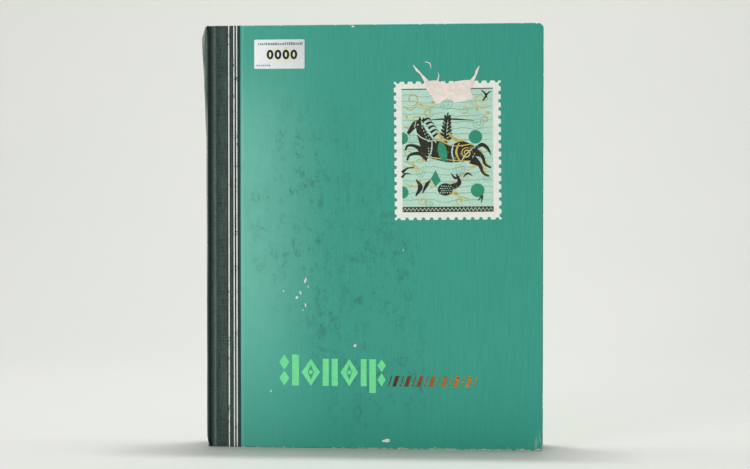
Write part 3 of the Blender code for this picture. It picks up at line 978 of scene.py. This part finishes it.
golds = [
    scroll(158, 262, 5.5, 1.4, 200), scroll(170, 252, 4.2, 1.3, 20, -1), scroll(160, 247, 4.6, 1.5, 120),
    scroll(209, 261, 5.2, 1.5, -30, -1), scroll(197, 254, 3.6, 1.2, 160), scroll(155, 222, 3.8, 1.3, 60),
    scroll(212, 246, 3.4, 1.3, 250, -1), scroll(211, 214, 3.6, 1.4, 120), scroll(160, 210, 3.4, 1.3, -80, -1),
    scroll(187, 197, 4.4, 1.5, 200), scroll(196, 204, 3.2, 1.2, 20, -1), scroll(165, 186.5, 3.6, 1.3, 150),
    scroll(193, 186, 3.4, 1.3, 320, -1),
]
stems = [
    [(151, 257), (157, 254), (163, 258), (171, 256), (178, 259)], [(199, 262), (204, 257), (210, 255), (216, 257)],
    [(151, 216), (157, 214), (163, 217), (170, 215)], [(192, 211), (199, 209), (206, 212), (215, 208)],
    [(152, 199), (160, 197), (169, 200), (176, 197)], [(180, 189), (188, 191), (197, 188), (203, 186)],
    [(151, 243), (155, 240), (160, 241)], [(206, 225), (211, 222), (216, 224)],
]
golds += [stroke(points, [0.2, 0.9, 0.5, 0.9, 0.2], 40) for points in stems]
golds += [disc(u, z, 0.9, 1.5, turn) for u, z, turn in (
    (165, 257.5, 40), (174, 259.5, 110), (206, 254, 20), (158, 213, 70), (166, 217.5, 10), (203, 212.5, 130),
    (211, 207.5, 60), (163, 201, 30), (172, 196.5, 100), (190, 191.8, 45), (153.5, 249, 15), (214, 251.5, 80))]
addPrint("stamp_scrolls", golds, 3.3, ink["gold"])

# fine wavy lines over the mint ground
ripples = []
for k in range(17):
    along = np.linspace(left + 0.6, right - 0.6, 46)
    level = low + 9.0 + 4.9 * k
    waved = level + 2.6 * softNoise(along, np.full(46, level * 0.55), 34.0, 90)
    ripples.append(stroke(np.stack([along, waved], axis=1), [0.5, 0.35, 0.55, 0.3], 90))
ripples += [scroll(u, z, radius, 2.2, start, hand, 0.45) for u, z, radius, start, hand in (
    (183.5, 259, 6.2, 30, 1), (206.5, 244, 5.4, 160, -1), (158, 233, 4.6, 80, 1), (193, 209, 4.6, 200, -1),
    (164, 207, 4.2, 10, 1), (213, 203, 3.6, 90, -1), (170, 183.8, 3.6, 40, 1))]
addPrint("stamp_ripples", ripples, 2, ink["ripple"])

# the horse, in tapering strokes: body, neck, head, ears, four legs at a gallop, tail, mane
horse = [
    stroke([(167, 225), (175, 224.5), (185, 221), (195, 222.5), (203, 221)], [12, 15, 12, 16, 11], 44),
    stroke([(171, 226), (166.5, 234), (163.5, 242)], [13, 9.5, 6.4], 24),
    stroke([(164.6, 243.4), (160.2, 243.4), (154.4, 236.4)], [5.6, 5.0, 2.2], 20),
    shape((162.0, 245.4), (163.4, 249.6), (165.2, 245.6)), shape((164.0, 245.4), (166.6, 248.8), (166.8, 244.0)),
    stroke([(168, 221), (161, 226.6), (154.6, 227.6), (152.4, 224.2)], [6.6, 2.6, 1.7, 1.4], 30),
    stroke([(170, 218), (163, 221.6), (156, 220.6), (153.6, 216.6)], [6.4, 2.8, 1.8, 1.4], 30),
    stroke([(202, 217), (207.5, 212.8), (210.4, 206.6), (214.6, 204.2)], [7.4, 3.0, 1.8, 1.3], 30),
    stroke([(203, 223), (209.5, 219.2), (211.8, 213.2), (216.2, 210.4)], [6.6, 2.8, 1.7, 1.3], 30),
    stroke([(205, 225), (209.5, 227.6), (213.6, 225.0), (216.4, 219.6)], [2.0, 3.0, 2.4, 0.4], 30),
]
horse += [stroke([(166.4 + 1.7 * k, 246.4 - 3.1 * k), (169.8 + 1.7 * k, 247.6 - 2.8 * k),
                  (172.6 + 1.6 * k, 245.8 - 2.5 * k)], [2.0, 1.3, 0.3], 14) for k in range(5)]
# a plume of leaves rises from the saddle, leaning back, with one long blade across it
plume = [stroke([(183, 226), (182.4, 238), (184.6, 252)], [2.4, 1.8, 0.8], 24),
         stroke([(172.5, 246.6), (186, 247.0), (203.5, 245.8)], [0.5, 1.5, 0.4], 30)]
for k in range(7):
    for hand in (-1, 1):
        plume.append(disc(182.8 + 0.22 * k + hand * (2.4 - 0.16 * k), 232.4 + 2.7 * k, 2.9 - 0.22 * k, 1.0,
                          turn=hand * (30 + 5 * k), sides=20))
ground = [
    stroke([(160, 190), (163.4, 196.4), (160.4, 202.4)], [1.0, 4.0, 0.6], 26),
    stroke([(165, 192), (168.2, 198.2), (171.6, 202.4)], [0.8, 2.8, 0.5], 26),
    disc(182, 194.6, 5.6, 4.6), stroke([(186, 196), (192.4, 199.4), (190.4, 206)], [4.6, 3.4, 0.8], 26),
    stroke([(149.8, 207.6), (154, 210.6), (159.4, 211.4)], [2.4, 1.2, 0.5], 18),
    stroke([(149.6, 203.6), (152.4, 206.6), (156.4, 206.4)], [1.8, 1.4, 0.4], 18),
    stroke([(186.4, 206.6), (189.6, 203.0), (193.6, 205.0)], [0.5, 1.9, 0.4], 18),
    stroke([(195.4, 203.6), (198.8, 206.4), (202.6, 204.4)], [0.5, 1.7, 0.4], 18),
    stroke([(209.4, 268.2), (212.8, 264.4), (210.4, 260.4)], [0.7, 1.6, 0.9], 18),
    stroke([(216.2, 267.4), (213.2, 264.6), (213.6, 262.0)], [0.6, 1.3, 0.4], 18),
    stroke([(206.6, 186.2), (209.4, 189.6), (208.8, 184.4)], [0.6, 1.7, 0.4], 18),
]
addPrint("stamp_horse", horse + plume + ground, 4, ink["black"])

# gold and mint lines and dots over the black, and the two small green motifs
overlay = [
    stroke([(169, 230.4), (178, 231.0), (188, 227.0), (203, 228.2)], [0.5, 0.9, 0.6, 0.8], 40),
    stroke([(168, 219.2), (178, 217.6), (190, 216.0), (201, 215.4)], [0.5, 0.9, 0.6, 0.8], 40),
    scroll(198, 221.6, 4.4, 1.9, 0, 1, 1.0),
    stroke([(192.6, 229), (190.4, 222), (193.4, 214.6)], [1.0, 1.6, 1.0], 20),
    stroke([(184.8, 236.6), (190.4, 231.4), (197.4, 231.2)], [1.4, 2.2, 1.2], 24),
    stroke([(176.4, 238.4), (179.8, 232.6), (186.2, 230.4)], [1.0, 2.0, 1.0], 24),
    disc(187.6, 191.8, 0.8, sides=12),
]
overlay += [disc(u, z, 0.5, sides=12) for u, z in (
    (195, 226.6), (201.4, 226.0), (204, 221), (196, 217.4), (188, 224.4), (187.4, 219.6))]
addPrint("stamp_horse_gold", overlay, 5, ink["gold"])
harness = [
    stroke([(160.2, 237.6), (164.6, 233.4), (171.6, 230.6)], [0.6, 0.8, 0.6], 24),
    stroke([(164.4, 246.0), (169.4, 237.6), (175.6, 229.4)], [0.6, 0.9, 0.6], 24),
    stroke([(160.6, 246.0), (159.4, 241.0)], [0.5, 0.6], 12), disc(161.8, 243.0, 0.55, sides=12),
    stroke([(168.6, 215.8), (172.0, 224.0), (172.4, 231.6)], [0.6, 0.9, 0.5], 24),
    stroke([(188.6, 229.4), (187.2, 222.4), (188.8, 214.8)], [0.7, 1.1, 0.7], 24),
    stroke([(193.6, 214.4), (196.8, 219.6), (203.6, 226.2)], [0.5, 0.8, 0.5], 24),
]
harness += [disc(165.4 + 1.6 * a + 0.9 * b, 240.6 - 2.3 * b + 0.9 * a, 0.42, sides=10)
            for a in range(2) for b in range(5)]
harness += [disc(169.8 + 1.9 * a, 219.4 + 2.0 * b, 0.42, sides=10) for a in range(2) for b in range(4)]
harness += [disc(178.6 + 1.7 * a + 0.85 * (b % 2), 192.2 + 1.6 * b, 0.4, sides=10)
            for a in range(5) for b in range(4)]
addPrint("stamp_horse_harness", harness, 6, ink["mint"])
addPrint("stamp_saddle", [disc(180.2, 222.8, 3.3, 7.4, turn=12),
                          shape((174.9, 208.9), (178.6, 201.2), (174.9, 196.6), (171.4, 202.8))], 7, ink["green"])

# foot band: a dark strip with a pale zigzag, and a thin line along the head
brownInk = makeInk("stamp_brown", rgb(40, 34, 20), rgb(92, 78, 40), 0.5, 900, 0.7)
addPrint("stamp_bands", [bar(left, low, right, low + 4.0), bar(left, high - 0.3, right, high + 0.4)], 4, brownInk)
turns = 47
corners = np.linspace(left + 0.5, right - 0.5, turns)
zigzag = np.stack([corners, low + 2.0 + 1.1 * np.where(np.arange(turns) % 2, 1, -1)], axis=1)
tick = np.array([0.0, 0.34])
addPrint("stamp_zigzag", [mesh2d(np.concatenate([zigzag + tick, zigzag - tick]),
                                 stripFaces(np.arange(turns), np.arange(turns) + turns))], 5, ink["mint"])

# torn surface over the stamp's head, with two scratches running up from it
torn = [
    mesh2d(spline([(168.2, 274.8), (174, 275.8), (183, 273.6), (191, 275.2), (200, 276.0), (203.4, 274.2),
                   (201.0, 268.5), (203.0, 263.0), (197.5, 260.8), (190.0, 259.4), (183.6, 262.2),
                   (176.4, 258.2), (172.4, 263.6), (168.4, 268.8), (168.2, 274.8)], 96), [range(96)]),
    stroke([(158.4, 287.2), (161.2, 283.4), (164.0, 280.6), (168.6, 274.6)], [0.6, 1.7, 1.1, 3.4], 40),
    stroke([(207.4, 286.2), (205.6, 282.4), (204.6, 279.4), (201.6, 274.4)], [0.6, 2.0, 1.3, 3.4], 40),
    stroke([(167.0, 289.6), (170.6, 288.6), (171.6, 285.0)], [0.3, 0.9, 0.3], 24),
    stroke([(176.5, 275.0), (177.4, 279.2), (176.8, 281.6)], [1.4, 0.7, 0.2], 20),
]
addPrint("torn_patch", torn, 9, ink["torn"])
print("stamp motif built")


# the title: a plain frieze in light green, then slanting foil strokes
title = {"low": 46.9, "high": 70.4, "capped": 67.4, "foilHigh": 54.9, "lean": 2.6}
low, high, capped = title["low"], title["high"], title["capped"]


def lozenge(u1, u2, z1, z2, width):
    # a four-sided figure standing on its point, open in the middle where it is wide enough
    u, z, radiusU, radiusZ = (u1 + u2) / 2, (z1 + z2) / 2, (u2 - u1) / 2, (z2 - z1) / 2
    solid = width > radiusU
    return disc(u, z, radiusU, radiusZ, sides=4) if solid else ringShape(u, z, radiusU, radiusZ, width, 4)


frieze = [
    lozenge(57.3, 64.9, 58.8, high, 9.0), lozenge(57.3, 64.9, low, 58.4, 9.0),
    bar(67.0, low, 72.2, high),
    lozenge(74.2, 88.2, low, capped, 4.6), disc(81.2, 57.2, 1.5),
    bar(90.2, low, 94.8, capped), bar(97.0, low, 101.6, capped),
    lozenge(103.6, 117.0, low, capped, 4.6), disc(110.3, 57.2, 1.5),
    bar(119.0, low, 123.4, capped), bar(125.4, 41.9, 130.4, capped),
    lozenge(131.6, 137.8, 57.5, capped, 9.0), lozenge(131.6, 137.8, low, 57.1, 9.0),
]
addPrint("title_frieze", frieze, 1, ink["title"])


def makeFoil():
    # copper foil, browner towards the spine and more golden towards the fore-edge
    g = Graph("copper_foil")
    x, _, _ = g.parts(g.objectPoint())
    uneven = g.noise(g.objectPoint(), 700, 4, 0.6)
    warm = g.step(x + (uneven - 0.5) * 0.02, 0.010, 0.078)
    colour = g.mix(warm, rgb(88, 44, 22), rgb(206, 140, 52))
    colour = g.mix(g.step(uneven, 0.54, 0.62, 0.0, 0.6), colour, rgb(40, 26, 14))
    return g.surface(baseColor=colour, roughness=0.34, metallic=0.55, normal=g.bump(uneven, 0.3, 0.00008))


foilHigh, lean = title["foilHigh"], title["lean"]
thin = (139.4, 148.4, 157.6, 166.6, 175.8, 184.8, 194.0, 203.2)
thick = ((142.6, 2.8), (151.6, 3.0), (160.8, 2.8), (169.8, 3.0), (179.0, 2.8), (188.0, 3.0), (197.4, 2.8))
strokes = [(u, 0.7, 2.6) for u in thin] + [(u, width, 0.0) for u, width in thick]
foilStrokes = []
for u, width, rise in sorted(strokes):
    # slanted bars by turns thick and thin; the thin ones are cut short at the foot, save the first and last
    rise = 0.0 if u in (thin[0], thin[-1]) else rise
    part = rise / (foilHigh - low)
    foilStrokes.append(shape((u + lean * part, low + rise), (u + width + lean * part, low + rise),
                             (u + width + lean, foilHigh), (u + lean, foilHigh)))
foilStrokes += [disc(u, low + 1.0, 0.75, 1.0, 0, sides=4) for u in (148.8, 157.8, 166.9, 176.0, 185.0, 194.3)]
addPrint("title_foil_strokes", foilStrokes, 1, makeFoil())

# small chips where the paper has lost its colour: place, half sizes and turn
chips = [(77.1, 126.0, 0.7, 2.2, -20), (60.6, 118.2, 0.5, 0.6, 0), (73.4, 117.0, 0.6, 1.6, 25),
         (70.7, 113.4, 0.9, 1.2, -40), (77.3, 107.6, 0.5, 1.7, 10), (114.6, 77.4, 1.0, 1.1, 0),
         (50.9, 42.6, 0.5, 0.9, 0), (138.2, 6.2, 2.8, 1.3, 8), (113.2, 316.3, 1.2, 0.5, 0),
         (75.4, 104.0, 0.4, 0.7, 30), (79.2, 121.5, 0.4, 0.9, -10), (151.0, 149.2, 0.4, 0.5, 0)]
chipShapes = []
for k, (u, z, a, b, turn) in enumerate(chips):
    flat, faces = disc(u, z, a, b, turn, sides=26)
    middle = np.array([u, z])
    ragged = 1 + 0.30 * softNoise(np.arange(26) * 0.9, np.full(26, k * 3.1), 6.0, 70 + k)[:, None]
    chipShapes.append((middle + (flat - middle) * ragged, faces))
addPrint("cover_chips", chipShapes, 2, ink["chip"])
print("prints built")


# the paper sticker, with plain marks in place of printed words
sticker = {"shift": 0.0008, "lift": 0.00004, "front": 0.00022, "corner": 0.0006, "zeroU": 2.6, "zeroZ": 3.65}
low, high = nodeBox("lot_label")
u1, u2, _, _ = flatU(low, high)
u1, u2 = u1 + sticker["shift"], u2 + sticker["shift"]
slab, faces = roundedSlab(u1, u2, low[2], high[2], -sticker["front"], -sticker["lift"], sticker["corner"],
                          sticker["lift"])


def makeSticker():
    g = Graph("sticker_paper")
    point = g.objectPoint()
    x, _, z = g.parts(point)
    fibre = g.noise(point, 1200, 3, 0.6)
    stainSpot = g.noise(point, (240, 1, 240), 5, 0.6)
    across = (x - float(low[0] + high[0]) / 2 - 0.003) / 0.012
    up = (z - float(low[2] + high[2]) / 2) / 0.007
    stain = g.step(across * across + up * up, 0.3, 1.3, 1.0, 0.0) * g.step(stainSpot, 0.46, 0.62)
    colour = g.mix(g.step(fibre, 0.4, 0.7), rgb(240, 243, 244), rgb(228, 231, 232))
    colour = g.mix(stain * 0.7, colour, rgb(238, 236, 110))
    return g.surface(baseColor=colour, roughness=0.55, normal=g.bump(fibre, 0.15, 0.00006))


addPiece("sticker", slab, faces, makeSticker(), "front_cover", ["lot_label"])
left, foot = u1 / mm, low[2] / mm
numerals = [ringShape(left + 12.0 + 6.0 * k, foot + 10.6, sticker["zeroU"], sticker["zeroZ"], 1.75, 32)
            for k in range(4)]
stickerInk = makeInk("sticker_black", rgb(14, 14, 16), rgb(40, 40, 44), 0.5, 1500, 0.4)
addPrint("sticker_numerals", numerals, 6.5, stickerInk)
marks = []
draw = np.random.default_rng(3)
mark = left + 3.0
while mark < left + 36.4:            # a row of uneven marks along the head
    width = draw.uniform(0.6, 1.4)
    marks.append(bar(mark, foot + 17.7, mark + width, foot + 17.7 + draw.uniform(1.3, 2.3)))
    mark += width + draw.uniform(0.35, 0.8)
mark = left + 1.8
while mark < left + 11.5:            # and a short low row at the foot
    width = draw.uniform(0.5, 1.1)
    marks.append(bar(mark, foot + 2.0, mark + width, foot + 3.0))
    mark += width + draw.uniform(0.4, 0.9)
greyInk = makeInk("sticker_grey", rgb(104, 106, 116), rgb(140, 142, 152), 0.5)
addPrint("sticker_marks", marks, 6.5, greyInk)
print("sticker built")


# floor, backdrop, lights, camera
studio = {"depth": 1.9, "width": 8.0, "front": -3.4, "curve": 1.3, "height": 3.4}
floorLine = np.linspace(studio["front"], studio["depth"] - studio["curve"], 12)
bend = np.linspace(0, math.pi / 2, 14)[1:]
rise = np.linspace(studio["curve"], studio["height"], 8)[1:]
y = np.concatenate([floorLine, floorLine[-1] + studio["curve"] * np.sin(bend), np.full(7, studio["depth"])])
z = np.concatenate([np.zeros(12), studio["curve"] * (1 - np.cos(bend)), rise])
x = np.linspace(-studio["width"] / 2, studio["width"] / 2, 6)
points = np.stack(np.broadcast_arrays(x[:, None], y, z - 0.00005), axis=-1)
sweepFaces = gridFaces(len(x), len(y))


def makeSweep():
    g = Graph("pale_paper_sweep")
    cloud = g.noise(g.objectPoint(), 3.0, 3, 0.5)
    return g.surface(baseColor=g.mix(cloud, rgb(228, 229, 223), rgb(223, 226, 220)), roughness=0.9, specular=0.1)


mesh = bpy.data.meshes.new("paper_sweep")
mesh.from_pydata(points.reshape(-1, 3).tolist(), [], [tuple(int(i) for i in f) for f in sweepFaces])
mesh.shade_smooth()
mesh.materials.append(makeSweep())
sweep = bpy.data.objects.new("paper_sweep", mesh)
bpy.context.scene.collection.objects.link(sweep)
if facingSum(points.reshape(-1, 3), sweepFaces) @ np.array([0, -1, 1]) < 0:
    mesh.flip_normals()


def aimed(name, data, spot, aim):
    # an object at a spot, looking along its own -Z at the aim
    made = bpy.data.objects.new(name, data)
    made.location = spot
    made.rotation_euler = (Vector(aim) - made.location).to_track_quat("-Z", "Y").to_euler()
    bpy.context.scene.collection.objects.link(made)
    return made


def addLight(name, spot, aim, width, height, power):
    data = bpy.data.lights.new(name, "AREA")
    data.shape, data.size, data.size_y, data.energy = "RECTANGLE", width, height, power
    aimed(name, data, spot, aim)


middle = (0.0, 0.0, album["height"] / 2)
addLight("front_left_key", (-1.45, -1.8, 0.36), middle, 0.9, 0.5, 27)
addLight("front_right_fill", (1.5, -2.0, 0.36), middle, 1.0, 0.5, 5)
addLight("overhead", (0.0, 0.16, 1.45), (0.0, 0.0, 0.1), 0.35, 0.08, 8.5)
addLight("backdrop_wash", (0.0, 0.25, 2.5), (0.0, 1.7, 0.9), 3.0, 0.8, 33)

world = bpy.data.worlds.new("soft_room")
world.use_nodes = True
sky = world.node_tree.nodes["Background"].inputs
sky["Color"].default_value, sky["Strength"].default_value = (1.0, 1.0, 0.985, 1.0), 0.22
bpy.context.scene.world = world
bpy.context.scene.view_settings.view_transform = "Standard"

shot = {"azimuth": 5.07, "height": 0.1873, "distance": 1.217, "lens": 77.0, "aim": (0.0022, frontY, 0.1609)}
turn = math.radians(shot["azimuth"])
data = bpy.data.cameras.new("front_camera")
data.lens, data.sensor_width = shot["lens"], 36.0
spot = (shot["distance"] * math.sin(turn), -shot["distance"] * math.cos(turn), shot["height"])
bpy.context.scene.camera = aimed("front_camera", data, spot, shot["aim"])
print("stage built")

bpy.context.view_layer.update()
